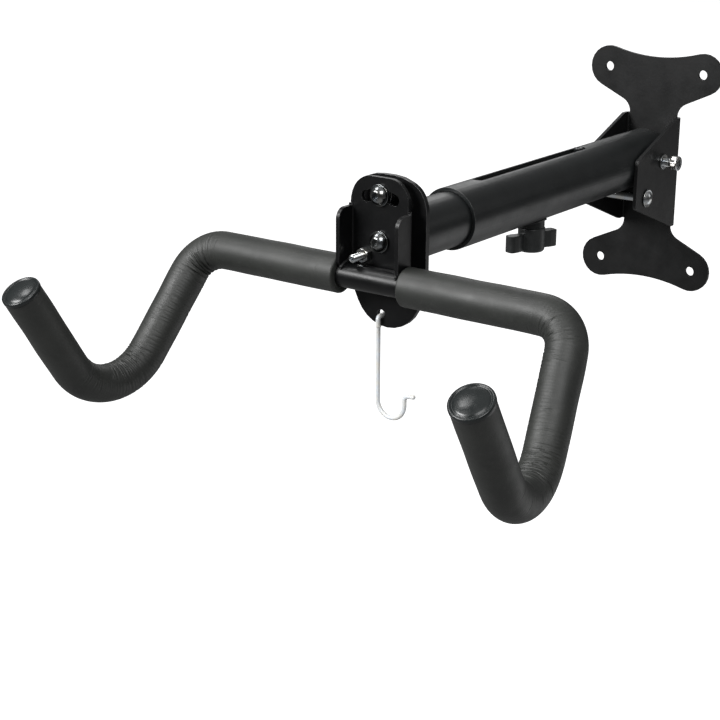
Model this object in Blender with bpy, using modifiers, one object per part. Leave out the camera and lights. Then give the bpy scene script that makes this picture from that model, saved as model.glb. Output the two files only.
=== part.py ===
"""Folding, telescoping wall rack that holds a bicycle by its top tube.

Metres, +Z up. The wall is the plane y = 0 and the arm reaches out along -Y.
The origin is on the back of the wall bracket, in the middle of its four holes.
"""

import math

import bmesh
import bpy
from mathutils import Matrix, Vector

MM = 0.001
GAP = 0.3 * MM

# Wall bracket: one stamped sheet
SHEET = 3.0 * MM
HOLE_X, HOLE_Z, HOLE_R = 46 * MM, 89 * MM, 4.25 * MM
LOBE_R = 18.5 * MM
WAIST_X, WAIST_Z = 23 * MM, 57.8 * MM
CROWN_Z = 100.9 * MM
EAR_IN = 24.6 * MM
EAR_OUT = EAR_IN + SHEET
EAR_FRONT = -80 * MM

# Arm tubes
ARM_Z = 15 * MM
OUTER_R, OUTER_BORE = 24.15 * MM, 21.6 * MM
OUTER_REAR, OUTER_FRONT = -17.5 * MM, -331 * MM
INNER_R, INNER_BORE = 21.2 * MM, 18.8 * MM
INNER_REAR, INNER_FRONT = -112 * MM, -405.2 * MM
PIVOT_Y = -33.5 * MM
STOP_Y = -60 * MM
BOLT_R, BOLT_BORE = 4.0 * MM, 4.3 * MM
STOP_Z = ARM_Z - OUTER_R - BOLT_R - GAP
SLOT_R, SLOT_REAR, SLOT_FRONT = 4.5 * MM, -133 * MM, -291 * MM
GUIDE_Y = -136.5 * MM
CLAMP_Y = -208 * MM

# Head
PLATE_BACK, PLATE_FRONT = -405.5 * MM, -409.5 * MM
PLATE_X, PLATE_TOP = 33.5 * MM, 62.3 * MM
LOBE_LOW = -51.5 * MM
WEB_BACK = -416 * MM
WEB_FRONT = WEB_BACK - SHEET
FLANGE_X = 27.5 * MM
FLANGE_FRONT = -435 * MM
FLANGE_TOP, FLANGE_LOW = 38.5 * MM, -5 * MM
WEB_TOP, WEB_LOW = 61.8 * MM, -9 * MM
WASHER = 1.5 * MM
LOCK_RISE = 34 * MM
SWING = math.radians(20)

# Cradle
BAR_R, BAR_WALL = 9.5 * MM, 1.5 * MM
FOAM_R, FOAM_WALL = 14.5 * MM, 4.7 * MM
FOAM_START = 28.2 * MM
BAR_Y, BAR_Z = -426 * MM, -12 * MM
SHOULDER = Vector((163.6, -426, -12)) * MM
TROUGH = Vector((184.9, -515, -139)) * MM
TIP = Vector((190, -588, -19)) * MM
SHOULDER_BEND, TROUGH_BEND = 26 * MM, 43 * MM

# Helmet hook
WIRE_R = 1.7 * MM
EYE = Vector((-5.6, -407.5, -42)) * MM
EYE_R = 3.3 * MM

for old in list(bpy.data.objects):
    bpy.data.objects.remove(old, do_unlink=True)

rack = bpy.data.collections.new("bicycle_wall_rack")
tools = bpy.data.collections.new("cutters")
bpy.context.scene.collection.children.link(rack)
bpy.context.scene.collection.children.link(tools)

FACING = {
    "+Z": Matrix.Identity(3),
    "-Z": Matrix(((1, 0, 0), (0, -1, 0), (0, 0, -1))),
    "-Y": Matrix(((1, 0, 0), (0, 0, -1), (0, 1, 0))),
    "+Y": Matrix(((-1, 0, 0), (0, 0, 1), (0, 1, 0))),
    "+X": Matrix(((0, 0, 1), (1, 0, 0), (0, 1, 0))),
    "-X": Matrix(((0, 0, -1), (-1, 0, 0), (0, 1, 0))),
}


def paint(obj, colour, roughness, metallic):
    made = bpy.data.materials.new(obj.name)
    made.use_nodes = True
    shader = made.node_tree.nodes["Principled BSDF"]
    shader.inputs["Base Color"].default_value = (*colour, 1)
    shader.inputs["Roughness"].default_value = roughness
    shader.inputs["Metallic"].default_value = metallic
    made.diffuse_color = (*colour, 1)
    obj.data.materials.clear()
    obj.data.materials.append(made)
    return obj


def coated(obj):
    return paint(obj, (0.018, 0.019, 0.020), 0.38, 0.0)


def zinc(obj):
    return paint(obj, (0.62, 0.63, 0.64), 0.28, 1.0)


def foam(obj):
    return paint(obj, (0.030, 0.031, 0.030), 0.85, 0.0)


def plastic(obj):
    return paint(obj, (0.020, 0.021, 0.021), 0.32, 0.0)


def place(obj, at, facing):
    obj.location = at
    obj.rotation_euler = FACING[facing].to_euler()
    return obj


def add(name, data, at=(0, 0, 0), facing="+Z", cutter=False):
    obj = bpy.data.objects.new(name, data)
    (tools if cutter else rack).objects.link(obj)
    if cutter:
        obj.hide_render = True
        obj.display_type = "WIRE"
    return place(obj, at, facing)


def rounded(corners, radii, closed, step=math.radians(14)):
    """Corners joined by straight runs, with an arc of the given radius at each."""
    corners = [Vector(c) for c in corners]
    path = []
    for i, corner in enumerate(corners):
        if radii[i] <= 0 or (not closed and i in (0, len(corners) - 1)):
            path.append(corner)
            continue
        u = (corners[i - 1] - corner).normalized()
        v = (corners[(i + 1) % len(corners)] - corner).normalized()
        inside = u.angle(v)
        centre = corner + (u + v).normalized() * (radii[i] / math.sin(inside / 2))
        reach = radii[i] / math.tan(inside / 2)
        first, last = corner + u * reach - centre, corner + v * reach - centre
        turn = math.pi - inside
        count = max(2, math.ceil(turn / step))
        for k in range(count + 1):
            t = k / count
            path.append(
                centre
                + (first * math.sin((1 - t) * turn) + last * math.sin(t * turn))
                / math.sin(turn)
            )
    return path


def circle(x, y, radius, count=24):
    return [
        Vector(
            (
                x + radius * math.cos(2 * math.pi * k / count),
                y + radius * math.sin(2 * math.pi * k / count),
                0,
            )
        )
        for k in range(count)
    ]


def flat(name, loops, thickness, at, facing, cutter=False):
    """A sheet of the given outline and holes, centred on `at`, facing along `facing`."""
    curve = bpy.data.curves.new(name, "CURVE")
    curve.dimensions = "2D"
    curve.fill_mode = "BOTH"
    curve.extrude = thickness / 2
    for loop in loops:
        spline = curve.splines.new("POLY")
        spline.points.add(len(loop) - 1)
        for point, (x, y, _) in zip(spline.points, loop):
            point.co = (x, y, 0, 1)
        spline.use_cyclic_u = True
    return meshed(add(name, curve, at, facing, cutter))


def meshed(obj):
    """The curve object as a welded mesh object in the same place."""
    bpy.context.view_layer.update()
    graph = bpy.context.evaluated_depsgraph_get()
    mesh = bpy.data.meshes.new_from_object(obj.evaluated_get(graph))
    work = bmesh.new()
    work.from_mesh(mesh)
    bmesh.ops.remove_doubles(work, verts=work.verts, dist=1e-6)
    bmesh.ops.recalc_face_normals(work, faces=work.faces)
    work.to_mesh(mesh)
    work.free()
    name, where = obj.name, obj.matrix_world.copy()
    cutter = obj.hide_render
    bpy.data.objects.remove(obj, do_unlink=True)
    made = add(name, mesh, cutter=cutter)
    made.matrix_world = where
    mesh.name = name
    return made


def wire(name, path, radius, sides, capped=True):
    curve = bpy.data.curves.new(name, "CURVE")
    curve.dimensions = "3D"
    curve.bevel_depth = radius
    curve.bevel_resolution = (sides - 4) // 2
    curve.use_fill_caps = capped
    curve.twist_mode = "MINIMUM"
    spline = curve.splines.new("POLY")
    spline.points.add(len(path) - 1)
    for point, co in zip(spline.points, path):
        point.co = (*co, 1)
    return meshed(add(name, curve))


def turned(name, profile, at, facing, steps=24, cutter=False):
    """A profile of (radius, height) turned about its axis; a profile clear of the axis closes on itself."""
    mesh = bpy.data.meshes.new(name)
    work = bmesh.new()
    points = [work.verts.new((r, 0, h)) for r, h in profile]
    for a, b in zip(points, points[1:]):
        work.edges.new((a, b))
    if min(r for r, _ in profile) > 0:
        work.edges.new((points[-1], points[0]))
    work.to_mesh(mesh)
    work.free()
    obj = add(name, mesh, at, facing, cutter)
    spin = obj.modifiers.new("turn", "SCREW")
    spin.steps = spin.render_steps = steps
    spin.use_merge_vertices = True
    spin.merge_threshold = 1e-6
    spin.use_smooth_shade = True
    return obj


def ring(name, outer, bore, low, high, at, facing, steps=24, cutter=False):
    return turned(
        name,
        [(outer, high), (outer, low), (bore, low), (bore, high)],
        at,
        facing,
        steps,
        cutter,
    )


def rod(name, radius, low, high, at, facing, steps=24, cutter=False):
    return turned(
        name,
        [(0, high), (radius, high), (radius, low), (0, low)],
        at,
        facing,
        steps,
        cutter,
    )


def prism(name, across, low, high, at, facing, cutter=False):
    """A hexagonal bar, `across` its flats."""
    mesh = bpy.data.meshes.new(name)
    work = bmesh.new()
    bmesh.ops.create_cone(
        work,
        cap_ends=True,
        segments=6,
        radius1=across / math.sqrt(3),
        radius2=across / math.sqrt(3),
        depth=high - low,
        matrix=Matrix.Translation((0, 0, (low + high) / 2)),
    )
    work.to_mesh(mesh)
    work.free()
    return add(name, mesh, at, facing, cutter)


def combine(obj, other, operation="DIFFERENCE"):
    if not other.hide_render:
        rack.objects.unlink(other)
        tools.objects.link(other)
        other.hide_render = True
        other.display_type = "WIRE"
    step = obj.modifiers.new(other.name, "BOOLEAN")
    step.operation = operation
    step.solver = "EXACT"
    step.object = other
    return obj


def empty(name, at, parent=None):
    obj = bpy.data.objects.new(name, None)
    rack.objects.link(obj)
    obj.location = at
    if parent:
        keep(obj, parent)
    return obj


def keep(obj, parent):
    """Parent without moving."""
    bpy.context.view_layer.update()
    where = obj.matrix_world.copy()
    obj.parent = parent
    obj.matrix_parent_inverse = parent.matrix_world.inverted()
    obj.matrix_world = where
    return obj


# ---------------------------------------------------------------- wall bracket
def flange_outline(side):
    """One bone end: two round lobes, a hollow edge that runs smoothly into both, and a waist."""
    z = HOLE_Z
    points = []
    rise = CROWN_Z - HOLE_Z
    hollow = (HOLE_X**2 + rise**2 - LOBE_R**2) / (2 * (LOBE_R - rise))
    start = math.atan2(rise + hollow, -HOLE_X)
    for k in range(12):
        a = start - (start + math.radians(65)) * k / 11
        points.append((HOLE_X + LOBE_R * math.cos(a), z + LOBE_R * math.sin(a)))
    points += [
        (xy[0], xy[1])
        for xy in rounded(
            [
                (points[-1][0], points[-1][1], 0),
                (WAIST_X, WAIST_Z, 0),
                (WAIST_X, WAIST_Z - 14 * MM, 0),
            ],
            [0, 13 * MM, 0],
            False,
        )[1:]
    ]
    left = [(-x, zz) for x, zz in reversed(points)]
    crown = []
    for k in range(1, 12):
        x = points[0][0] * (-1 + 2 * k / 12)
        crown.append((x, CROWN_Z + hollow - math.sqrt(hollow**2 - x**2)))
    loop = points + left + crown
    return [Vector((x, side * zz, 0)) for x, zz in loop]


def bone_end(name, side):
    outline = flange_outline(side)
    holes = [circle(sx * HOLE_X, side * HOLE_Z, HOLE_R, 20) for sx in (-1, 1)]
    return flat(name, [outline, *holes], SHEET, (0, -SHEET / 2, 0), "-Y")


def u_profile(inner, outer, back, web, front, bend):
    """A U seen along its length: web at the back, legs running forward to `front`."""
    corners = [
        (-outer, back, 0),
        (outer, back, 0),
        (outer, front, 0),
        (inner, front, 0),
        (inner, back - web, 0),
        (-inner, back - web, 0),
        (-inner, front, 0),
        (-outer, front, 0),
    ]
    radii = [bend, bend, 0, 0, bend * 0.3, bend * 0.3, 0, 0]
    return rounded(corners, radii, True)


bracket = flat(
    "wall_bracket",
    [u_profile(EAR_IN, EAR_OUT, 0, SHEET, EAR_FRONT - 5 * MM, 4 * MM)],
    120 * MM,
    (0, 0, 0),
    "+Z",
)
ear_side = flat(
    "ear_side",
    [
        rounded(
            [
                (5 * MM, -48.5 * MM, 0),
                (5 * MM, 49.5 * MM, 0),
                (-9 * MM, 49.5 * MM, 0),
                (EAR_FRONT, 22 * MM, 0),
                (EAR_FRONT, -20 * MM, 0),
                (-9 * MM, -48.5 * MM, 0),
            ],
            [0, 0, 3 * MM, 6 * MM, 5 * MM, 3 * MM],
            True,
        )
    ],
    80 * MM,
    (0, 0, 0),
    "+X",
    cutter=True,
)
combine(bracket, ear_side, "INTERSECT")
for tag, side in (("upper", 1), ("lower", -1)):
    combine(bracket, bone_end(f"flange_{tag}", side), "UNION")
for tag, y, z in (("pivot", PIVOT_Y, ARM_Z), ("stop", STOP_Y, STOP_Z)):
    combine(
        bracket,
        rod(f"{tag}_bore", BOLT_BORE, -60 * MM, 60 * MM, (0, y, z), "+X", 24, True),
    )
coated(bracket)


def washer(name, x_face, y, z, facing, outer=8 * MM):
    return zinc(ring(name, outer, BOLT_BORE, 0, 1.6 * MM, (x_face, y, z), facing, 28))


def nut(name, across, height, bore, at, facing):
    body = prism(name, across, 0, height, at, facing)
    combine(
        body, rod(f"{name}_bore", bore, -1 * MM, height + 1 * MM, at, facing, 24, True)
    )
    crown = turned(
        f"{name}_chamfer",
        [
            (0, height + 0.01 * MM),
            (across * 0.49, height + 0.01 * MM),
            (across * 0.60, height - 1.0 * MM),
            (across * 0.60, -1 * MM),
            (0, -1 * MM),
        ],
        at,
        facing,
        24,
        True,
    )
    combine(body, crown, "INTERSECT")
    return zinc(body)


def cap_screw(name, head_r, head_h, socket, reach, radius, at, facing):
    """Socket head above `at`, shank below it."""
    body = turned(
        name,
        [
            (0, head_h),
            (head_r - 0.8 * MM, head_h),
            (head_r, head_h - 0.8 * MM),
            (head_r, 0),
            (radius, 0),
            (radius, 0.6 * MM - reach),
            (radius - 0.6 * MM, -reach),
            (0, -reach),
        ],
        at,
        facing,
        24,
    )
    combine(
        body,
        prism(
            f"{name}_socket", socket, head_h * 0.42, head_h + 1 * MM, at, facing, True
        ),
    )
    return zinc(body)


washer("pivot_washer_right", EAR_OUT + GAP, PIVOT_Y, ARM_Z, "+X", 6.6 * MM)
washer("pivot_washer_left", -EAR_OUT - GAP, PIVOT_Y, ARM_Z, "-X")
cap_screw(
    "pivot_screw", 6.5 * MM, 7 * MM, 6 * MM, 76.5 * MM, BOLT_R,
    (36.5 * MM, PIVOT_Y, ARM_Z), "+X",
)
nut(
    "pivot_nut", 13 * MM, 6.8 * MM, BOLT_BORE,
    (-EAR_OUT - 2 * GAP - 1.6 * MM, PIVOT_Y, ARM_Z), "-X",
)

dome = [
    (7.9 * MM * math.cos(math.radians(a)), 4.4 * MM * math.sin(math.radians(a)))
    for a in range(78, -1, -13)
]
stop = turned(
    "stop_bolt",
    [(0, 4.4 * MM), *dome, (BOLT_R, 0), (BOLT_R, -67.4 * MM), (3.4 * MM, -68 * MM), (0, -68 * MM)],
    (EAR_OUT + GAP, STOP_Y, STOP_Z),
    "+X",
    28,
)
zinc(stop)
washer("stop_bolt_washer", -EAR_OUT - GAP, STOP_Y, STOP_Z, "-X")
nut(
    "stop_bolt_nut", 13 * MM, 6.8 * MM, BOLT_BORE,
    (-EAR_OUT - 2 * GAP - 1.6 * MM, STOP_Y, STOP_Z), "-X",
)

# ---------------------------------------------------------------- outer arm
outer_arm = empty("outer_arm", (0, PIVOT_Y, ARM_Z))
outer = ring(
    "outer_tube", OUTER_R, OUTER_BORE, -OUTER_REAR, -OUTER_FRONT,
    (0, 0, ARM_Z), "-Y", 48,
)


def slot_loop(rear, front, radius):
    half = [math.pi * k / 10 for k in range(11)]
    loop = [(radius * math.cos(a), rear + radius * math.sin(a), 0) for a in half]
    loop += [(-radius * math.cos(a), front - radius * math.sin(a), 0) for a in half]
    return [Vector(p) for p in loop]


combine(
    outer,
    flat(
        "guide_slot", [slot_loop(SLOT_REAR, SLOT_FRONT, SLOT_R)], 20 * MM,
        (0, 0, ARM_Z + OUTER_R), "+Z", cutter=True,
    ),
)
combine(
    outer,
    rod("tube_pivot_bore", BOLT_BORE, -40 * MM, 40 * MM, (0, PIVOT_Y, ARM_Z), "+X", 24, True),
)
combine(
    outer,
    rod("tube_clamp_bore", BOLT_BORE, 0, 12 * MM, (0, CLAMP_Y, -14 * MM), "+Z", 24, True),
)
keep(coated(outer), outer_arm)
keep(
    zinc(ring("pivot_sleeve", 6 * MM, BOLT_BORE, -20.6 * MM, 20.6 * MM, (0, PIVOT_Y, ARM_Z), "+X", 24)),
    outer_arm,
)
boss = ring("clamp_boss", 10.5 * MM, BOLT_BORE, -14 * MM, -4 * MM, (0, CLAMP_Y, 0), "+Z", 32)
combine(
    boss,
    rod("boss_saddle", OUTER_R + GAP, 150 * MM, 260 * MM, (0, 0, ARM_Z), "-Y", 48, True),
)
keep(coated(boss), outer_arm)

# ---------------------------------------------------------------- clamp knob
clamp = empty("clamp_screw", (0, CLAMP_Y, -14 * MM), outer_arm)
stud_top = ARM_Z - INNER_R - GAP
keep(
    zinc(
        turned(
            "clamp_stud",
            [
                (0, stud_top), (3 * MM, stud_top), (BOLT_R, stud_top - 1 * MM),
                (BOLT_R, -28 * MM), (0, -28 * MM),
            ],
            (0, CLAMP_Y, 0),
            "+Z",
            24,
        )
    ),
    clamp,
)
knob = turned(
    "clamp_knob",
    [
        (BOLT_BORE, -14.4 * MM), (10.6 * MM, -14.4 * MM), (11.2 * MM, -15 * MM),
        (11 * MM, -33 * MM), (9.6 * MM, -34.4 * MM), (BOLT_BORE, -34.4 * MM),
    ],
    (0, CLAMP_Y, 0),
    "+Z",
    32,
)
plug = rod("knob_end", 8 * MM, -34.2 * MM, -28.4 * MM, (0, CLAMP_Y, 0), "+Z", 24)
combine(knob, plug, "UNION")
wing = flat(
    "knob_wings",
    [
        rounded(
            [
                (-25 * MM, -5 * MM, 0), (-17 * MM, -5 * MM, 0), (-9 * MM, -3.2 * MM, 0),
                (9 * MM, -3.2 * MM, 0), (17 * MM, -5 * MM, 0), (25 * MM, -5 * MM, 0),
                (25 * MM, 5 * MM, 0), (17 * MM, 5 * MM, 0), (9 * MM, 3.2 * MM, 0),
                (-9 * MM, 3.2 * MM, 0), (-17 * MM, 5 * MM, 0), (-25 * MM, 5 * MM, 0),
            ],
            [3.5 * MM, 0, 0, 0, 0, 3.5 * MM, 3.5 * MM, 0, 0, 0, 0, 3.5 * MM],
            True,
        )
    ],
    13.8 * MM,
    (0, CLAMP_Y, -26.1 * MM),
    "+Z",
)
wing.rotation_euler = (0, 0, math.radians(72))
combine(
    wing,
    rod("wing_bore", BOLT_BORE + 1 * MM, -28.4 * MM, -5 * MM, (0, CLAMP_Y, 0), "+Z", 24, True),
)
combine(knob, wing, "UNION")
keep(plastic(knob), clamp)

# ---------------------------------------------------------------- inner arm
inner_arm = empty("inner_arm", (0, INNER_FRONT, ARM_Z), outer_arm)
inner = ring(
    "inner_tube", INNER_R, INNER_BORE, -INNER_REAR, -INNER_FRONT,
    (0, 0, ARM_Z), "-Y", 48,
)
combine(
    inner,
    rod("guide_bore", 2.8 * MM, 0, 20 * MM, (0, GUIDE_Y, ARM_Z + 10 * MM), "+Z", 20, True),
)
keep(coated(inner), inner_arm)
guide = cap_screw(
    "guide_screw", 3.9 * MM, 3.4 * MM, 3 * MM, 9 * MM, 2.5 * MM,
    (0, GUIDE_Y, ARM_Z + INNER_R + GAP), "+Z",
)
keep(guide, inner_arm)

LOCK_Z = ARM_Z + LOCK_RISE


def head_outline():
    corners = [
        (PLATE_X, -20 * MM, 0),
        (PLATE_X, 42 * MM, 0),
        (29 * MM, 54.5 * MM, 0),
        (13 * MM, PLATE_TOP, 0),
        (-13 * MM, PLATE_TOP, 0),
        (-29 * MM, 54.5 * MM, 0),
        (-PLATE_X, 42 * MM, 0),
        (-PLATE_X, -20 * MM, 0),
        (-18.5 * MM, LOBE_LOW, 0),
        (18.5 * MM, LOBE_LOW, 0),
    ]
    radii = [v * MM for v in (30, 22, 18, 36, 36, 18, 22, 30, 29, 29)]
    return rounded(corners, radii, True)


plate = flat(
    "head_plate",
    [
        head_outline(),
        circle(0, ARM_Z, BOLT_BORE),
        circle(0, LOCK_Z, BOLT_BORE),
        circle(EYE.x, EYE.z, EYE_R),
    ],
    PLATE_BACK - PLATE_FRONT,
    (0, (PLATE_BACK + PLATE_FRONT) / 2, 0),
    "-Y",
)
keep(coated(plate), inner_arm)



def button_screw(name, head_r, head_h, socket, reach, radius, at, facing):
    """Domed socket head above `at`, shank below it."""
    flat_r, brim = 3.8 * MM, 0.9 * MM
    low = (head_r**2 + brim**2 - flat_r**2 - head_h**2) / (2 * (brim - head_h))
    dome_r = math.hypot(head_r, brim - low)
    steep, shallow = math.asin((head_h - low) / dome_r), math.asin((brim - low) / dome_r)
    arc = [steep + (shallow - steep) * k / 4 for k in range(5)]
    body = turned(
        name,
        [
            (0, head_h),
            *[(dome_r * math.cos(a), low + dome_r * math.sin(a)) for a in arc],
            (head_r, 0),
            (radius, 0),
            (radius, 0.6 * MM - reach),
            (radius - 0.6 * MM, -reach),
            (0, -reach),
        ],
        at,
        facing,
        28,
    )
    combine(
        body,
        prism(f"{name}_socket", socket, 1.6 * MM, head_h + 1 * MM, at, facing, True),
    )
    return zinc(body)


for tag, z in (("pivot", ARM_Z), ("lock", LOCK_Z)):
    keep(
        zinc(
            ring(
                f"tilt_{tag}_washer", 8 * MM, BOLT_BORE, 0, WASHER,
                (0, WEB_FRONT - GAP, z), "-Y", 28,
            )
        ),
        inner_arm,
    )
    keep(
        zinc(
            ring(
                f"tilt_{tag}_spacer", 7.5 * MM, BOLT_BORE,
                GAP, PLATE_FRONT - WEB_BACK - GAP,
                (0, PLATE_FRONT, z), "-Y", 28,
            )
        ),
        inner_arm,
    )
    keep(
        button_screw(
            f"tilt_{tag}_screw", 7 * MM, 4.4 * MM, 5 * MM, 24.5 * MM, BOLT_R,
            (0, WEB_FRONT - 2 * GAP - WASHER, z), "-Y",
        ),
        inner_arm,
    )
    keep(
        nut(
            f"tilt_{tag}_nut", 13 * MM, 6.5 * MM, BOLT_BORE,
            (0, PLATE_BACK + GAP, z), "+Y",
        ),
        inner_arm,
    )

# ---------------------------------------------------------------- cradle
cradle = empty("cradle", (0, WEB_FRONT, ARM_Z), inner_arm)
SET_X, SET_Z, SET_R = -12.6 * MM, 3.8 * MM, 3.0 * MM
SET_TIP, SET_FOOT = 17.2 * MM, -9.2 * MM

shell = flat(
    "tilt_bracket",
    [
        u_profile(
            FLANGE_X - SHEET, FLANGE_X, WEB_BACK, SHEET, FLANGE_FRONT - 5 * MM, 4 * MM
        )
    ],
    110 * MM,
    (0, 0, 20 * MM),
    "+Z",
)
side_view = flat(
    "bracket_side",
    [
        rounded(
            [
                (WEB_BACK + 5 * MM, WEB_LOW, 0),
                (WEB_BACK + 5 * MM, WEB_TOP + 5 * MM, 0),
                (WEB_FRONT - 0.6 * MM, WEB_TOP + 5 * MM, 0),
                (WEB_FRONT - 0.6 * MM, FLANGE_TOP, 0),
                (FLANGE_FRONT, FLANGE_TOP, 0),
                (FLANGE_FRONT, FLANGE_LOW, 0),
                (WEB_FRONT - 0.6 * MM, FLANGE_LOW, 0),
                (WEB_FRONT - 0.6 * MM, WEB_LOW, 0),
            ],
            [0, 0, 0, 0, 8 * MM, 5 * MM, 0, 0],
            True,
        )
    ],
    80 * MM,
    (0, 0, 0),
    "+X",
    cutter=True,
)
front_view = flat(
    "bracket_front",
    [
        rounded(
            [
                (FLANGE_X + 1 * MM, -30 * MM, 0),
                (FLANGE_X + 1 * MM, FLANGE_TOP + 1.5 * MM, 0),
                (24.8 * MM, FLANGE_TOP + 1.5 * MM, 0),
                (24.8 * MM, 51 * MM, 0),
                (16 * MM, WEB_TOP, 0),
                (-16 * MM, WEB_TOP, 0),
                (-24.8 * MM, 51 * MM, 0),
                (-24.8 * MM, FLANGE_TOP + 1.5 * MM, 0),
                (-FLANGE_X - 1 * MM, FLANGE_TOP + 1.5 * MM, 0),
                (-FLANGE_X - 1 * MM, -30 * MM, 0),
            ],
            [v * MM for v in (0, 0, 0, 14, 16, 16, 14, 0, 0, 0)],
            True,
        )
    ],
    80 * MM,
    (0, WEB_FRONT, 0),
    "-Y",
    cutter=True,
)
combine(shell, side_view, "INTERSECT")
combine(shell, front_view, "INTERSECT")


def arc_slot(radius, half_width, sweep):
    """Bent slot centred on the tilt pivot."""
    steps = 12
    loop = []
    for k in range(steps + 1):
        a = math.pi / 2 - sweep + 2 * sweep * k / steps
        loop.append(((radius + half_width) * math.cos(a), (radius + half_width) * math.sin(a)))
    for k in range(1, 8):
        b = math.pi / 2 + sweep + math.pi * k / 8
        c = (radius * math.cos(math.pi / 2 + sweep), radius * math.sin(math.pi / 2 + sweep))
        loop.append((c[0] + half_width * math.cos(b), c[1] + half_width * math.sin(b)))
    for k in range(steps + 1):
        a = math.pi / 2 + sweep - 2 * sweep * k / steps
        loop.append(((radius - half_width) * math.cos(a), (radius - half_width) * math.sin(a)))
    for k in range(1, 8):
        b = math.pi / 2 - sweep + math.pi + math.pi * k / 8
        c = (radius * math.cos(math.pi / 2 - sweep), radius * math.sin(math.pi / 2 - sweep))
        loop.append((c[0] + half_width * math.cos(b), c[1] + half_width * math.sin(b)))
    return [Vector((x, ARM_Z + z, 0)) for x, z in loop]


combine(
    shell,
    flat(
        "tilt_slot", [arc_slot(LOCK_RISE, BOLT_BORE + 0.1 * MM, SWING + math.radians(1))],
        12 * MM, (0, WEB_FRONT, 0), "-Y", cutter=True,
    ),
)
combine(shell, rod("tilt_bore", BOLT_BORE, -10 * MM, 10 * MM, (0, WEB_FRONT, ARM_Z), "-Y", 24, True))
combine(shell, rod("set_bore", SET_R + GAP, -10 * MM, 10 * MM, (SET_X, WEB_FRONT, SET_Z), "-Y", 20, True))
combine(
    shell,
    rod("bar_saddle", BAR_R + GAP, -40 * MM, 40 * MM, (0, BAR_Y, BAR_Z), "+X", 32, True),
)
keep(coated(shell), cradle)

screw = turned(
    "tilt_set_screw",
    [
        (0, SET_TIP), (SET_R - 0.5 * MM, SET_TIP), (SET_R, SET_TIP - 0.5 * MM),
        (SET_R, SET_FOOT), (0, SET_FOOT),
    ],
    (SET_X, WEB_FRONT, SET_Z),
    "-Y",
    20,
)
combine(
    screw,
    prism("set_socket", 3 * MM, SET_TIP - 3.5 * MM, SET_TIP + 1 * MM, (SET_X, WEB_FRONT, SET_Z), "-Y", True),
)
keep(zinc(screw), cradle)
keep(
    nut("tilt_set_nut", 10 * MM, 5 * MM, SET_R + GAP, (SET_X, WEB_FRONT - GAP, SET_Z), "-Y"),
    cradle,
)


def flipped(v):
    return Vector((-v.x, v.y, v.z))


def tube_along(name, path, radius, wall, sides):
    """A bent tube, open at both ends, its wall on the inside of `radius`."""
    obj = wire(name, path, radius, sides, capped=False)
    skin = obj.modifiers.new("wall", "SOLIDIFY")
    skin.thickness = wall
    skin.offset = -1
    skin.use_even_offset = True
    skin.use_rim = True
    return obj


bends = [0, TROUGH_BEND, SHOULDER_BEND, SHOULDER_BEND, TROUGH_BEND, 0]
bar_path = rounded(
    [flipped(TIP), flipped(TROUGH), flipped(SHOULDER), SHOULDER, TROUGH, TIP],
    bends,
    False,
)
keep(coated(tube_along("cradle_bar", bar_path, BAR_R, BAR_WALL, 18)), cradle)

for tag, side in (("left", -1), ("right", 1)):
    start = Vector((FOAM_START, BAR_Y, BAR_Z))
    path = rounded([start, SHOULDER, TROUGH, TIP], [0, SHOULDER_BEND, TROUGH_BEND, 0], False)
    path = [Vector((side * p.x, p.y, p.z)) for p in path]
    keep(foam(tube_along(f"foam_{tag}", path, FOAM_R, FOAM_WALL, 20)), cradle)

    along = (TIP - TROUGH).normalized()
    along = Vector((side * along.x, along.y, along.z))
    end = Vector((side * TIP.x, TIP.y, TIP.z)) + along * GAP
    stem = BAR_R - BAR_WALL - 2 * GAP
    cap = turned(
        f"end_cap_{tag}",
        [
            (0, 5.2 * MM), (5 * MM, 4.9 * MM), (9 * MM, 4.1 * MM), (11.4 * MM, 3.1 * MM),
            (12.2 * MM, 2.6 * MM), (12.9 * MM, 3.3 * MM), (13.9 * MM, 3.3 * MM),
            (14.8 * MM, 2.4 * MM), (14.8 * MM, 0), (stem, 0), (stem, -14 * MM), (0, -14 * MM),
        ],
        (0, 0, 0),
        "+Z",
        28,
    )
    cap.location = end
    cap.rotation_euler = along.to_track_quat("Z", "Y").to_euler()
    keep(plastic(cap), cradle)

# ---------------------------------------------------------------- helmet hook
hook_pivot = empty("helmet_hook_pivot", EYE, inner_arm)
drop = EYE_R - WIRE_R - 0.35 * MM
top = EYE.z - drop
front_y, back_y = -412.9 * MM, -402.1 * MM
shank_x = -13.0 * MM
turn_x, turn_z, turn_r = 3 * MM, -112 * MM, 12.2 * MM
hook_path = rounded(
    [
        (EYE.x, front_y, top - 8.5 * MM),
        (EYE.x, front_y, top),
        (EYE.x, back_y, top),
        (shank_x, back_y, top - 12 * MM),
        (shank_x, back_y, turn_z - turn_r),
        (shank_x + 2 * turn_r, back_y, turn_z - turn_r),
        (shank_x + 2 * turn_r, back_y, turn_z + 7.5 * MM),
        (shank_x + 2 * turn_r + 9.5 * MM, back_y, turn_z + 8.5 * MM),
    ],
    [0, 3 * MM, 3 * MM, 6 * MM, 12.1 * MM, 12.1 * MM, 4 * MM, 0],
    False,
    math.radians(18),
)
hook = wire("helmet_hook", hook_path, WIRE_R, 12)
keep(zinc(hook), hook_pivot)

for obj in rack.objects:
    if obj.type == "MESH":
        for face in obj.data.polygons:
            face.use_smooth = len(face.vertices) == 4 and obj.name not in (
                "wall_bracket", "head_plate", "tilt_bracket",
            )
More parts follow.
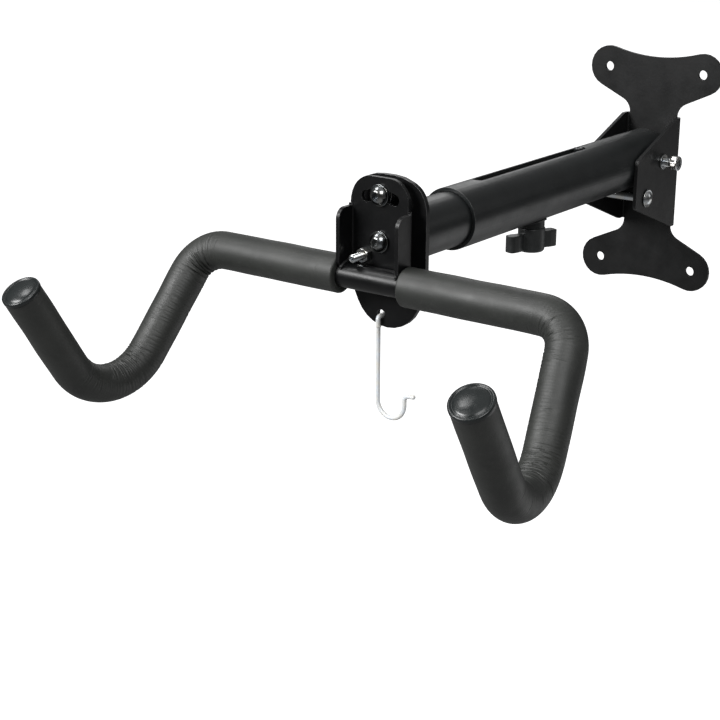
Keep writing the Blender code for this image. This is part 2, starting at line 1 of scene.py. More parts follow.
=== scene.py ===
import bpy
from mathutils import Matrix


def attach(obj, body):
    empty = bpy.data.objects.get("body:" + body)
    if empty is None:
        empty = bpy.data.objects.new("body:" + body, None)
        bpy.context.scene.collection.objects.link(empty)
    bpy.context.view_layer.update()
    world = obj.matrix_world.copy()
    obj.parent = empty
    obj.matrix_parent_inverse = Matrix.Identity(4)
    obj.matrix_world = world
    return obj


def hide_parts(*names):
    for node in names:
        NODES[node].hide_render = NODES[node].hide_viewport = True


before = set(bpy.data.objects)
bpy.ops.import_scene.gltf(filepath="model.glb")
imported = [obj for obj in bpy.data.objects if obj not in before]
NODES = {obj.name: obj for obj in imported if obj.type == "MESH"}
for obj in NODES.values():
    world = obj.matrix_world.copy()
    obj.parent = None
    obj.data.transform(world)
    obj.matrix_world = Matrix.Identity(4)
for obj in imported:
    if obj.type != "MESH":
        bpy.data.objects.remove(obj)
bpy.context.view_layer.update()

import math

import bmesh
import bpy
import numpy as np
from mathutils import Matrix, Vector

MM = 0.001

for extra in ("Cube", "Light", "Camera"):
    if extra in bpy.data.objects and extra not in NODES:
        bpy.data.objects.remove(bpy.data.objects[extra], do_unlink=True)

# Sizes shared with the frame, in metres
ARM_Z = 15 * MM
OUTER_R, INNER_R = 24.15 * MM, 21.2 * MM
PIVOT = Vector((0, -33.5, 15)) * MM
STOP = Vector((0, -60, 15 - 24.15 - 4.3)) * MM
CLAMP_Y = -208 * MM
WEB_FRONT = -419 * MM
PLATE_BACK = -405.5 * MM
LOCK_Z = 49 * MM
SHOULDER = Vector((163.6, -426, -12)) * MM
TROUGH = Vector((184.9, -515, -139)) * MM
TIP = Vector((190, -588, -19)) * MM
SHOULDER_BEND, TROUGH_BEND = 26 * MM, 43 * MM
FOAM_R, FOAM_START = 14.5 * MM, 28.2 * MM
BAR_R, BAR_Y, BAR_Z = 9.5 * MM, -426 * MM, -12 * MM
EYE = Vector((-5.6, -407.5, -42)) * MM


# ---------------------------------------------------------------- materials
class Nodes:
    """A small builder for one Principled material."""

    def __init__(self, name):
        self.mat = bpy.data.materials.new(name)
        self.mat.use_nodes = True
        self.tree = self.mat.node_tree
        self.shader = self.tree.nodes["Principled BSDF"]
        self.coords = self.node("ShaderNodeTexCoord")

    def node(self, kind, **values):
        made = self.tree.nodes.new(kind)
        for key, value in values.items():
            if key.startswith("in_"):
                made.inputs[key[3:].replace("_", " ")].default_value = value
            else:
                setattr(made, key, value)
        return made

    def link(self, a, b):
        self.tree.links.new(a, b)

    def stretch(self, scale):
        m = self.node("ShaderNodeMapping")
        m.inputs["Scale"].default_value = scale
        self.link(self.coords.outputs["Object"], m.inputs["Vector"])
        return m.outputs["Vector"]

    def noise(self, scale, detail=3, rough=0.5, vector=None):
        n = self.node("ShaderNodeTexNoise")
        n.inputs["Scale"].default_value = scale
        n.inputs["Detail"].default_value = detail
        n.inputs["Roughness"].default_value = rough
        self.link(vector or self.coords.outputs["Object"], n.inputs["Vector"])
        return n.outputs["Fac"]

    def cells(self, scale, feature="F1"):
        n = self.node("ShaderNodeTexVoronoi", feature=feature)
        n.inputs["Scale"].default_value = scale
        self.link(self.coords.outputs["Object"], n.inputs["Vector"])
        return n.outputs["Distance"]

    def spread(self, value, low, high, to_low, to_high):
        n = self.node("ShaderNodeMapRange")
        for key, v in (("From Min", low), ("From Max", high), ("To Min", to_low), ("To Max", to_high)):
            n.inputs[key].default_value = v
        self.link(value, n.inputs["Value"])
        return n.outputs["Result"]

    def tint(self, factor, low, high):
        n = self.node("ShaderNodeMix", data_type="RGBA")
        n.inputs["A"].default_value = (*low, 1)
        n.inputs["B"].default_value = (*high, 1)
        self.link(factor, n.inputs["Factor"])
        return n.outputs["Result"]

    def blend(self, factor, a, b):
        n = self.node("ShaderNodeMix", data_type="RGBA")
        self.link(factor, n.inputs["Factor"])
        self.link(a, n.inputs["A"])
        if isinstance(b, tuple):
            n.inputs["B"].default_value = (*b, 1)
        else:
            self.link(b, n.inputs["B"])
        return n.outputs["Result"]

    def sum(self, a, b, gain=1.0):
        n = self.node("ShaderNodeMath", operation="MULTIPLY_ADD")
        self.link(b, n.inputs[0])
        n.inputs[1].default_value = gain
        self.link(a, n.inputs[2])
        return n.outputs[0]

    def bump(self, height, distance, strength=1.0):
        n = self.node("ShaderNodeBump")
        n.inputs["Strength"].default_value = strength
        n.inputs["Distance"].default_value = distance
        self.link(height, n.inputs["Height"])
        self.link(n.outputs["Normal"], self.shader.inputs["Normal"])

    def to(self, socket, value):
        if isinstance(value, (int, float)):
            self.shader.inputs[socket].default_value = value
        elif isinstance(value, tuple):
            self.shader.inputs[socket].default_value = (*value, 1)
        else:
            self.link(value, self.shader.inputs[socket])


def coat(name, dark, light, rough_low, rough_high, peel=0.00005, specular=0.5, edge_highlight=None):
    """Black powder coat: orange peel and cloudy gloss. The optional edge colour is a painted highlight on the rounded
    edges, laid on in blotches.
    """
    m = Nodes(name)
    cloud = m.noise(26, 4, 0.6)
    speck = m.noise(620, 2, 0.5)
    colour = m.tint(m.spread(cloud, 0.35, 0.68, 0, 1), dark, light)
    if edge_highlight:
        # lighter blotched colour for the rounded edges: a painted highlight along them
        colour = m.blend(m.spread(m.noise(140, 5, 0.7), 0.38, 0.66, 0.1, 1.0), colour, edge_highlight)
    else:
        colour = m.blend(m.spread(m.noise(210, 5, 0.75), 0.66, 0.80, 0, 0.35), colour, tuple(4 * c for c in light))
    m.to("Base Color", colour)
    haze = m.sum(m.noise(60, 3, 0.6), speck, 0.25)
    m.to("Roughness", m.spread(haze, 0.40, 0.85, rough_low, rough_high))
    m.to("Metallic", 0.0)
    m.to("Specular IOR Level", specular)
    m.bump(m.sum(m.noise(420, 2, 0.4), speck, 0.35), peel, 0.8)
    return m.mat


def plated(name, colour, rough_low, rough_high, grain=(500, 500, 500), metal=1.0, dirt=0.55):
    """Zinc plate: bright, a little cloudy, faintly warm and blue."""
    m = Nodes(name)
    cloud = m.noise(180, 3, 0.6)
    warm = tuple(c * f for c, f in zip(colour, (1.0, 0.97, 0.90)))
    cool = tuple(c * f for c, f in zip(colour, (0.93, 0.98, 1.03)))
    base = m.tint(m.spread(cloud, 0.35, 0.65, 0, 1), warm, cool)
    grime = m.spread(m.noise(420, 4, 0.7), 0.55, 0.78, 0, dirt)
    m.to("Base Color", m.blend(grime, base, tuple(c * 0.45 for c in colour)))
    m.to("Metallic", metal)
    m.to("Roughness", m.spread(m.noise(300, 4, 0.6), 0.3, 0.7, rough_low, rough_high))
    m.bump(m.noise(1500, 2, 0.5, m.stretch(tuple(g / 500 for g in grain))), 0.00002, 0.6)
    return m.mat


def moulded(name, dark, light, rough_low, rough_high):
    m = Nodes(name)
    m.to("Base Color", m.tint(m.spread(m.noise(90, 4, 0.6), 0.35, 0.65, 0, 1), dark, light))
    m.to("Roughness", m.spread(m.noise(240, 4, 0.6), 0.35, 0.65, rough_low, rough_high))
    m.bump(m.sum(m.cells(1700), m.noise(900, 2), 0.5), 0.000012, 0.5)
    return m.mat


def foam_skin(name):
    """Closed-cell foam rubber: tiny cells in a faintly shiny skin, dusty in patches."""
    m = Nodes(name)
    cloud = m.noise(34, 4, 0.6)
    cells = m.cells(1900)
    pores = m.spread(cells, 0.05, 0.55, 0, 1)
    base = m.tint(m.spread(cloud, 0.33, 0.68, 0, 1), (0.0190, 0.0206, 0.0186), (0.0290, 0.0310, 0.0278))
    dusty = m.spread(m.noise(260, 4, 0.7), 0.52, 0.78, 0, 0.4)
    base = m.blend(dusty, base, (0.052, 0.053, 0.051))
    pit = m.spread(m.noise(2300, 2, 0.5), 0.58, 0.74, 0, 0.75)
    m.to("Base Color", m.blend(pit, base, (0.010, 0.010, 0.010)))
    m.to("Roughness", m.spread(m.sum(m.noise(90, 3), pores, 0.3), 0.35, 0.95, 0.42, 0.56))
    m.shader.inputs["Specular IOR Level"].default_value = 0.62
    m.bump(m.sum(m.noise(1500, 3, 0.6), pores, 0.8), 0.00006, 0.7)
    return m.mat


# pale colours for the rounded edges of the coats: painted highlights along the rims
EDGE_HIGHLIGHT = (0.085, 0.086, 0.087)
BRACKET = coat("bracket_powder_coat", (0.0060, 0.0062, 0.0064), (0.0095, 0.0098, 0.0100), 0.36, 0.52, specular=0.42)
BRACKET_EDGE = coat("bracket_edge_coat", (0.012, 0.012, 0.012), (0.018, 0.018, 0.018), 0.28, 0.42, edge_highlight=EDGE_HIGHLIGHT)
TUBE = coat("tube_powder_coat", (0.0085, 0.0100, 0.0102), (0.0130, 0.0152, 0.0154), 0.30, 0.42, specular=0.5)
TUBE_EDGE = coat("tube_edge_coat", (0.030, 0.033, 0.033), (0.050, 0.053, 0.053), 0.24, 0.36, edge_highlight=(0.17, 0.175, 0.175))
# the head's coat: its own near-black, made darker still as painted shade
HEAD = coat("head_powder_coat", (0.0022, 0.0023, 0.0026), (0.0038, 0.0039, 0.0043), 0.30, 0.42, specular=0.38)
HEAD_EDGE = coat("head_edge_coat", (0.018, 0.018, 0.0185), (0.034, 0.034, 0.035), 0.24, 0.36, edge_highlight=(0.15, 0.153, 0.156))
ZINC = plated("zinc_plate", (0.60, 0.605, 0.61), 0.16, 0.30)
# a darker copy of the zinc for the tilt screws and washers: their dark reflections are painted into its colour
BOLT = plated("zinc_painted_dark", (0.30, 0.305, 0.31), 0.12, 0.24)
# the hook wire is near-white and barely metallic: a painted reflection of white surroundings on the zinc
WIRE = plated("zinc_wire", (0.92, 0.925, 0.93), 0.30, 0.42, (500, 500, 60), metal=0.08, dirt=0.10)
OXIDE = plated("black_oxide", (0.10, 0.102, 0.105), 0.26, 0.40)
WELD = coat("weld_bead_coat", (0.0060, 0.0062, 0.0066), (0.014, 0.014, 0.0145), 0.26, 0.40, peel=0.00008)
KNOB = moulded("knob_plastic", (0.0220, 0.0240, 0.0243), (0.0330, 0.0350, 0.0354), 0.30, 0.42)
CAP = moulded("cap_plastic", (0.0095, 0.0122, 0.0124), (0.0150, 0.0180, 0.0182), 0.22, 0.32)
FOAM = foam_skin("foam_rubber")
# each coat and its edge coat, whose pale colour is a painted highlight on the rounded edges
EDGE_HIGHLIGHT_COATS = {BRACKET.name: BRACKET_EDGE, TUBE.name: TUBE_EDGE, HEAD.name: HEAD_EDGE}


# ---------------------------------------------------------------- mesh helpers
def finish_mesh(name, bm, mat, angle=38):
    bmesh.ops.recalc_face_normals(bm, faces=bm.faces)
    mesh = bpy.data.meshes.new(name)
    bm.to_mesh(mesh)
    bm.free()
    mesh.shade_smooth()
    mesh.set_sharp_from_angle(angle=math.radians(angle))
    obj = bpy.data.objects.new(name, mesh)
    bpy.context.scene.collection.objects.link(obj)
    mesh.materials.append(mat)
    return obj


def softened(obj, width, segments=2, angle=38):
    """Rounded edges, as bent and coated sheet has."""
    step = obj.modifiers.new("edges", "BEVEL")
    step.width = width
    step.segments = segments
    step.limit_method = "ANGLE"
    step.angle_limit = math.radians(angle)
    step.use_clamp_overlap = True
    step.harden_normals = True
    step.miter_outer = "MITER_ARC"
    return obj


def from_node(node, mat, body, width=0.35 * MM, segments=2, angle=38):
    """The CAD node's own shape with its edges rounded."""
    bm = bmesh.new()
    bm.from_mesh(NODES[node].data)
    bmesh.ops.remove_doubles(bm, verts=bm.verts, dist=3e-6)
    bmesh.ops.dissolve_limit(bm, angle_limit=math.radians(0.8), verts=bm.verts, edges=bm.edges)
    obj = finish_mesh(node + "_finish", bm, mat, angle)
    if width:
        softened(obj, width, segments, angle)
        # the bevel faces take the edge coat: a painted highlight along the rounded edges
        if mat.name in EDGE_HIGHLIGHT_COATS:
            obj.data.materials.append(EDGE_HIGHLIGHT_COATS[mat.name])
            obj.modifiers["edges"].material = 1
    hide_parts(node)
    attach(obj, body)
    return obj


def turned(profile, sides=96, thread=None, knurl=None):
    """bmesh of a profile of (radius, height) turned about Z. thread = (low, high, pitch, depth)."""
    bm = bmesh.new()
    rows = []
    closed = min(r for r, _ in profile) > 1e-9
    for r, h in profile:
        if r <= 1e-9:
            rows.append([bm.verts.new((0, 0, h))])
            continue
        row = []
        for k in range(sides):
            a = 2 * math.pi * k / sides
            rr = r
            if thread and thread[0] <= h <= thread[1]:
                t = (h / thread[2] - k / sides) % 1.0
                rr -= thread[3] * (1 - abs(2 * t - 1))
            if knurl and knurl[0] <= h <= knurl[1] and r >= knurl[2]:
                rr -= knurl[3] * (0.5 + 0.5 * math.cos(a * knurl[4]))
            row.append(bm.verts.new((rr * math.cos(a), rr * math.sin(a), h)))
        rows.append(row)
    pairs = list(zip(rows, rows[1:])) + ([(rows[-1], rows[0])] if closed else [])
    for a, b in pairs:
        if len(a) == 1 and len(b) == 1:
            continue
        for k in range(sides):
            n = (k + 1) % sides
            if len(a) == 1:
                bm.faces.new((a[0], b[n], b[k]))
            elif len(b) == 1:
                bm.faces.new((a[k], a[n], b[0]))
            else:
                bm.faces.new((a[k], a[n], b[n], b[k]))
    return bm


FACING = {
    "+Z": Matrix.Identity(3),
    "-Z": Matrix(((1, 0, 0), (0, -1, 0), (0, 0, -1))),
    "-Y": Matrix(((1, 0, 0), (0, 0, -1), (0, 1, 0))),
    "+Y": Matrix(((-1, 0, 0), (0, 0, 1), (0, 1, 0))),
    "+X": Matrix(((0, 0, 1), (1, 0, 0), (0, 1, 0))),
    "-X": Matrix(((0, 0, -1), (-1, 0, 0), (0, 1, 0))),
}


def stand(bm, at, facing):
    bmesh.ops.transform(bm, matrix=Matrix.Translation(at) @ FACING[facing].to_4x4(), verts=bm.verts)
    return bm


def arc_profile(cx, cz, radius, a0, a1, count):
    """Points of (radius, height) on an arc."""
    return [
        (
            cx + radius * math.cos(math.radians(a0 + (a1 - a0) * k / count)),
            cz + radius * math.sin(math.radians(a0 + (a1 - a0) * k / count)),
        )
        for k in range(count + 1)
    ]


def threaded(radius, top, bottom, pitch, sides=48):
    """Profile rows close enough together to carry a thread, from top to bottom."""
    step = pitch / 7
    count = max(2, int((top - bottom) / step))
    return [(radius, top - (top - bottom) * k / count) for k in range(count + 1)]


def cut_hex(obj, across, low, high, at, facing):
    """A chamfered hexagon socket."""
    bm = bmesh.new()
    bmesh.ops.create_cone(
        bm, cap_ends=True, segments=6, radius1=across / math.sqrt(3), radius2=across / math.sqrt(3),
        depth=high - low, matrix=Matrix.Translation((0, 0, (low + high) / 2)),
    )
    stand(bm, at, facing)
    tool = finish_mesh("socket_tool", bm, obj.data.materials[0])
    apply_boolean(obj, tool, "DIFFERENCE")


def apply_boolean(obj, tool, operation):
    step = obj.modifiers.new("cut", "BOOLEAN")
    step.operation = operation
    step.solver = "EXACT"
    step.object = tool
    bake(obj)
    bpy.data.objects.remove(tool, do_unlink=True)


def bake(obj):
    """Modifiers made into mesh."""
    bpy.context.view_layer.update()
    graph = bpy.context.evaluated_depsgraph_get()
    mesh = bpy.data.meshes.new_from_object(obj.evaluated_get(graph))
    obj.modifiers.clear()
    obj.data = mesh
    return obj


def cap_screw(node, body, head_r, head_h, socket, reach, radius, at, facing, pitch=1.25 * MM, plain=0.0, mat=None):
    """Knurled socket head, a plain neck, then thread to the end."""
    low = 1.1 * MM
    edge = 0.7 * MM
    top = [(0, head_h), (head_r - 1.5 * MM, head_h)]
    top += arc_profile(head_r - edge, head_h - edge, edge, 90, 0, 5)
    sides = [(head_r, head_h - edge - (head_h - edge - low) * k / 10) for k in range(1, 11)]
    foot = [(head_r - 0.25 * MM, low - 0.3 * MM), (head_r - 0.25 * MM, 0), (radius + 0.35 * MM, 0), (radius, -0.4 * MM)]
    shank = threaded(radius, -0.5 * MM - plain, -reach + 0.9 * MM, pitch)
    end = [(radius - 0.7 * MM, -reach + 0.1 * MM), (radius - 1.0 * MM, -reach), (0, -reach)]
    bm = turned(
        top + sides + foot + shank + end, 168,
        thread=(-reach + 1.0 * MM, -0.6 * MM - plain, pitch, 0.62 * pitch),
        knurl=(low, head_h - edge - 0.1 * MM, head_r - 0.1 * MM, 0.22 * MM, 42),
    )
    stand(bm, at, facing)
    obj = finish_mesh(node + "_finish", bm, mat or ZINC, 42)
    if socket:
        cut_hex(obj, socket, head_h * 0.42, head_h + 1 * MM, at, facing)
        obj.data.shade_smooth()
        obj.data.set_sharp_from_angle(angle=math.radians(42))
    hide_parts(node)
    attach(obj, body)
    return obj


def rounded(corners, radii, closed=False, step=math.radians(3)):
    corners = [Vector(c) for c in corners]
    path = []
    for i, corner in enumerate(corners):
        if radii[i] <= 0 or (not closed and i in (0, len(corners) - 1)):
            path.append(corner)
            continue
        u = (corners[i - 1] - corner).normalized()
        v = (corners[(i + 1) % len(corners)] - corner).normalized()
        inside = u.angle(v)
        centre = corner + (u + v).normalized() * (radii[i] / math.sin(inside / 2))
        reach = radii[i] / math.tan(inside / 2)
        first, last = corner + u * reach - centre, corner + v * reach - centre
        turn = math.pi - inside
        count = max(2, math.ceil(turn / step))
        for k in range(count + 1):
            t = k / count
            path.append(
                centre + (first * math.sin((1 - t) * turn) + last * math.sin(t * turn)) / math.sin(turn)
            )
    return path


def even(path, spacing):
    """The path at even spacing: points, unit tangents, distances along."""
    p = np.array([tuple(v) for v in path], float)
    seg = np.linalg.norm(np.diff(p, axis=0), axis=1)
    s = np.concatenate([[0], np.cumsum(seg)])
    n = max(2, int(round(s[-1] / spacing)))
    q = np.linspace(0, s[-1], n + 1)
    points = np.stack([np.interp(q, s, p[:, k]) for k in range(3)], 1)
    tang = np.gradient(points, q, axis=0)
    tang /= np.linalg.norm(tang, axis=1, keepdims=True)
    return points, tang, q


def carried(tang, start):
    """Normals carried along the path without twist."""
    n = np.array(start, float)
    n -= tang[0] * (n @ tang[0])
    n /= np.linalg.norm(n)
    out = [n]
    for t in tang[1:]:
        n = n - t * (n @ t)
        n = n / np.linalg.norm(n)
        out.append(n)
    return np.array(out)


def skin(points, across, up, radii, sides, cap=True):
    """bmesh of rings: radii is rings x sides."""
    angles = 2 * np.pi * np.arange(sides) / sides
    ring = (
        points[:, None, :]
        + radii[:, :, None]
        * (np.cos(angles)[None, :, None] * across[:, None, :] + np.sin(angles)[None, :, None] * up[:, None, :])
    )
    bm = bmesh.new()
    rows = [[bm.verts.new(tuple(v)) for v in row] for row in ring]
    for a, b in zip(rows, rows[1:]):
        for k in range(sides):
            n = (k + 1) % sides
            bm.faces.new((a[k], a[n], b[n], b[k]))
    if cap:
        bm.faces.new(list(reversed(rows[0])))
        bm.faces.new(rows[-1])
    return bm


def swept(name, path, radius, sides, spacing, mat, body, node=None, ends=0.0, profile=None):
    points, tang, q = even(path, spacing)
    up = carried(tang, (0.1, 0.2, 1) if abs(tang[0][2]) < 0.9 else (1, 0, 0.1))
    across = np.cross(up, tang)
    radii = np.full((len(points), sides), radius)
    if ends:
        for k, s in enumerate(q):
            d = min(s, q[-1] - s)
            if d < ends:
                radii[k] *= math.sqrt(max(0.02, 1 - (1 - d / ends) ** 2))
    if profile is not None:
        radii = profile(q, 2 * np.pi * np.arange(sides) / sides, radii)
    obj = finish_mesh(name, skin(points, across, up, radii, sides), mat, 50)
    if node:
        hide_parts(node)
    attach(obj, body)
    return obj


# ---------------------------------------------------------------- wall bracket
from_node("wall_bracket", BRACKET, "wall_bracket", 0.55 * MM, 3)
for node in ("pivot_washer_right", "pivot_washer_left", "stop_bolt_washer"):
    from_node(node, ZINC, "wall_bracket", 0.22 * MM, 2)
for node in ("pivot_nut", "stop_bolt_nut"):
    from_node(node, ZINC, "wall_bracket", 0.18 * MM, 2)
cap_screw(
    "pivot_screw", "wall_bracket", 6.5 * MM, 7 * MM, 6 * MM, 76.5 * MM, 4 * MM,
    Vector((36.5 * MM, PIVOT.y, PIVOT.z)), "+X",
)
stop_head = [(0, 4.4 * MM)] + arc_profile(0, -3.6 * MM, 8.0 * MM, 88, 37, 14)
stop_head = [(r, h) for r, h in stop_head if h >= 1.1 * MM] + arc_profile(7.2 * MM, 0.7 * MM, 0.7 * MM, 60, -70, 6)
stop_shank = [(4 * MM, -0.05 * MM)] + [(4 * MM, -z * MM) for z in (8, 20, 40, 48)]
stop_shank += threaded(4 * MM, -48.5 * MM, -67 * MM, 1.25 * MM)
stop = stand(
    turned(
        stop_head + [(4.3 * MM, 0.0)] + stop_shank + [(3.2 * MM, -67.9 * MM), (0, -68 * MM)], 96,
        thread=(-66.9 * MM, -48.6 * MM, 1.25 * MM, 0.7 * MM),
    ),
    Vector((27.9 * MM, STOP.y, STOP.z)), "+X",
)
stop = finish_mesh("stop_bolt_finish", stop, ZINC, 45)
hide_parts("stop_bolt")
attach(stop, "wall_bracket")

# ---------------------------------------------------------------- outer arm
from_node("outer_tube", TUBE, "outer_arm", 0.6 * MM, 3, 32)
from_node("clamp_boss", TUBE, "outer_arm", 0.3 * MM, 2)
from_node("pivot_sleeve", ZINC, "outer_arm", 0.2 * MM, 2)


def weld(name, centre, u, v, radius, bead, body, lift=None, ripples=0.0011, gap=(0, 0)):
    """A weld bead round a circle, rippled as it was laid."""
    centre, u, v = Vector(centre), Vector(u), Vector(v)
    count = 220
    path = []
    for k in range(count + 1):
        a = gap[0] + (2 * math.pi - gap[0] - gap[1]) * k / count
        p = centre + u * (radius * math.cos(a)) + v * (radius * math.sin(a))
        if lift:
            p = lift(p)
        path.append(p)

    def lumps(q, angles, radii):
        wave = 1 + 0.10 * np.abs(np.sin(np.pi * q / ripples)) + 0.06 * np.sin(q * 900 + 1.3)
        return radii * wave[:, None]

    return swept(name, path, bead, 12, 0.35 * MM, WELD, body, profile=lumps)


def on_tube(radius):
    """Puts a point on the outer tube's underside."""
    def move(p):
        depth = math.sqrt(max(0.0, radius * radius - p.x * p.x))
        return Vector((p.x, p.y, ARM_Z - depth))
    return move


weld("boss_weld", (0, CLAMP_Y, 0), (1, 0, 0), (0, 1, 0), 11.0 * MM, 1.0 * MM, "outer_arm", on_tube(OUTER_R + 0.5 * MM))

# ---------------------------------------------------------------- clamp
stud = stand(
    turned(
        [(0, -6.5 * MM), (2.9 * MM, -6.5 * MM), (3.3 * MM, -7.1 * MM)]
        + threaded(4 * MM, -7.6 * MM, -27.4 * MM, 1.25 * MM) + [(3.4 * MM, -27.9 * MM), (0, -28 * MM)],
        64, thread=(-27.3 * MM, -7.7 * MM, 1.25 * MM, 0.7 * MM),
    ),
    Vector((0, CLAMP_Y, 0)), "+Z",
)
stud = finish_mesh("clamp_stud_finish", stud, ZINC, 45)
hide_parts("clamp_stud")
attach(stud, "clamp_stud")

knob = bmesh.new()
knob.from_mesh(NODES["clamp_knob"].data)
bmesh.ops.remove_doubles(knob, verts=knob.verts, dist=3e-6)
knob = finish_mesh("clamp_knob_finish", knob, KNOB)
melt = knob.modifiers.new("melt", "REMESH")
melt.mode = "VOXEL"
melt.voxel_size = 0.42 * MM
ease = knob.modifiers.new("ease", "SMOOTH")
ease.factor = 0.5
ease.iterations = 7
bake(knob)
knob.data.shade_smooth()
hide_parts("clamp_knob")
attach(knob, "clamp_knob")

# ---------------------------------------------------------------- inner arm
from_node("inner_tube", TUBE, "inner_arm", 0.4 * MM, 2, 32)
from_node("head_plate", HEAD, "inner_arm", 0.6 * MM, 3)
for node in ("tilt_pivot_washer", "tilt_lock_washer"):
    from_node(node, BOLT, "inner_arm", 0.22 * MM, 2)
for node in ("tilt_pivot_nut", "tilt_lock_nut"):
    from_node(node, ZINC, "inner_arm", 0.18 * MM, 2)
cap_screw(
    "guide_screw", "inner_arm", 3.9 * MM, 3.4 * MM, 3 * MM, 9 * MM, 2.5 * MM,
    Vector((0, -136.5 * MM, ARM_Z + INNER_R + 0.3 * MM)), "+Z", 0.8 * MM, mat=OXIDE,
)
for node in ("tilt_pivot_spacer", "tilt_lock_spacer"):
    from_node(node, ZINC, "inner_arm", 0.22 * MM, 2)


def button_screw(node, body, at, facing):
    """Domed socket head 14 mm across on an M8 shank."""
    flat, brim, high, wide = 3.5 * MM, 0.9 * MM, 4.4 * MM, 7.0 * MM
    low = (wide**2 + brim**2 - flat**2 - high**2) / (2 * (brim - high))
    radius = math.hypot(wide, brim - low)
    start, stop_at = math.degrees(math.asin((high - low) / radius)), math.degrees(math.asin((brim - low) / radius))
    profile = [(0, high), (flat - 0.1 * MM, high)] + arc_profile(0, low, radius, start, stop_at, 16)[1:]
    profile += arc_profile(wide - 0.35 * MM, 0.4 * MM, 0.35 * MM, 20, -90, 5)
    profile += [(4.3 * MM, 0.05 * MM), (4 * MM, -0.3 * MM)]
    profile += threaded(4 * MM, -0.5 * MM, -23.6 * MM, 1.25 * MM)
    profile += [(3.3 * MM, -24.4 * MM), (0, -24.5 * MM)]
    bm = turned(profile, 96, thread=(-23.5 * MM, -0.6 * MM, 1.25 * MM, 0.7 * MM))
    obj = finish_mesh(node + "_finish", stand(bm, at, facing), BOLT, 42)
    cut_hex(obj, 5 * MM, 1.6 * MM, high + 1 * MM, at, facing)
    obj.data.shade_smooth()
    obj.data.set_sharp_from_angle(angle=math.radians(42))
    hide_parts(node)
    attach(obj, body)


for tag, z in (("pivot", ARM_Z), ("lock", LOCK_Z)):
    button_screw(f"tilt_{tag}_screw", "inner_arm", Vector((0, WEB_FRONT - 2.1 * MM, z)), "-Y")
weld(
    "head_weld", (0, PLATE_BACK + 1.1 * MM, ARM_Z), (1, 0, 0), (0, 0, 1), INNER_R + 0.9 * MM, 1.5 * MM,
    "inner_arm",
)

# ---------------------------------------------------------------- cradle
from_node("tilt_bracket", HEAD, "cradle", 0.55 * MM, 3)
from_node("tilt_set_nut", ZINC, "cradle", 0.18 * MM, 2)
SET_AT = Vector((-12.6 * MM, WEB_FRONT, 3.8 * MM))
set_screw = stand(
    turned(
        [(0, 17.2 * MM), (2.0 * MM, 17.2 * MM), (2.6 * MM, 16.8 * MM)]
        + threaded(3 * MM, 16.4 * MM, -8.8 * MM, 1.0 * MM) + [(2.5 * MM, -9.15 * MM), (0, -9.2 * MM)],
        64, thread=(-8.7 * MM, 16.3 * MM, 1.0 * MM, 0.55 * MM),
    ),
    SET_AT, "-Y",
)
set_screw = finish_mesh("tilt_set_screw_finish", set_screw, ZINC, 45)
cut_hex(set_screw, 3 * MM, 13.7 * MM, 18.2 * MM, SET_AT, "-Y")
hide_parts("tilt_set_screw")
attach(set_screw, "cradle")


def mirrored(v, side):
    return Vector((side * v.x, v.y, v.z))


bar_path = rounded(
    [mirrored(TIP, -1), mirrored(TROUGH, -1), mirrored(SHOULDER, -1), SHOULDER, TROUGH, TIP],
    [0, TROUGH_BEND, SHOULDER_BEND, SHOULDER_BEND, TROUGH_BEND, 0],
)
swept("cradle_bar_finish", bar_path, BAR_R, 40, 2.5 * MM, HEAD, "cradle", "cradle_bar")


def flange_weld(name, side):
    """Bead where a flange of the bracket sits over the bar."""
    x = side * 24.2 * MM
    path = []
    for k in range(61):
        a = math.radians(35 + 110 * k / 60)
        path.append(Vector((x, BAR_Y - (BAR_R + 0.7 * MM) * math.cos(a), BAR_Z + (BAR_R + 0.7 * MM) * math.sin(a))))

    def lumps(q, angles, radii):
        wave = 1 + 0.14 * np.abs(np.sin(np.pi * q / 0.0013))
        fade = np.clip(np.minimum(q, q[-1] - q) / 0.002, 0.25, 1)
        return radii * (wave * fade)[:, None]

    swept(name, path, 1.3 * MM, 12, 0.35 * MM, WELD, "cradle", profile=lumps)


for side, tag in ((-1, "left"), (1, "right")):
    flange_weld(f"flange_weld_{tag}", side)

RINGS = 0.5 * MM


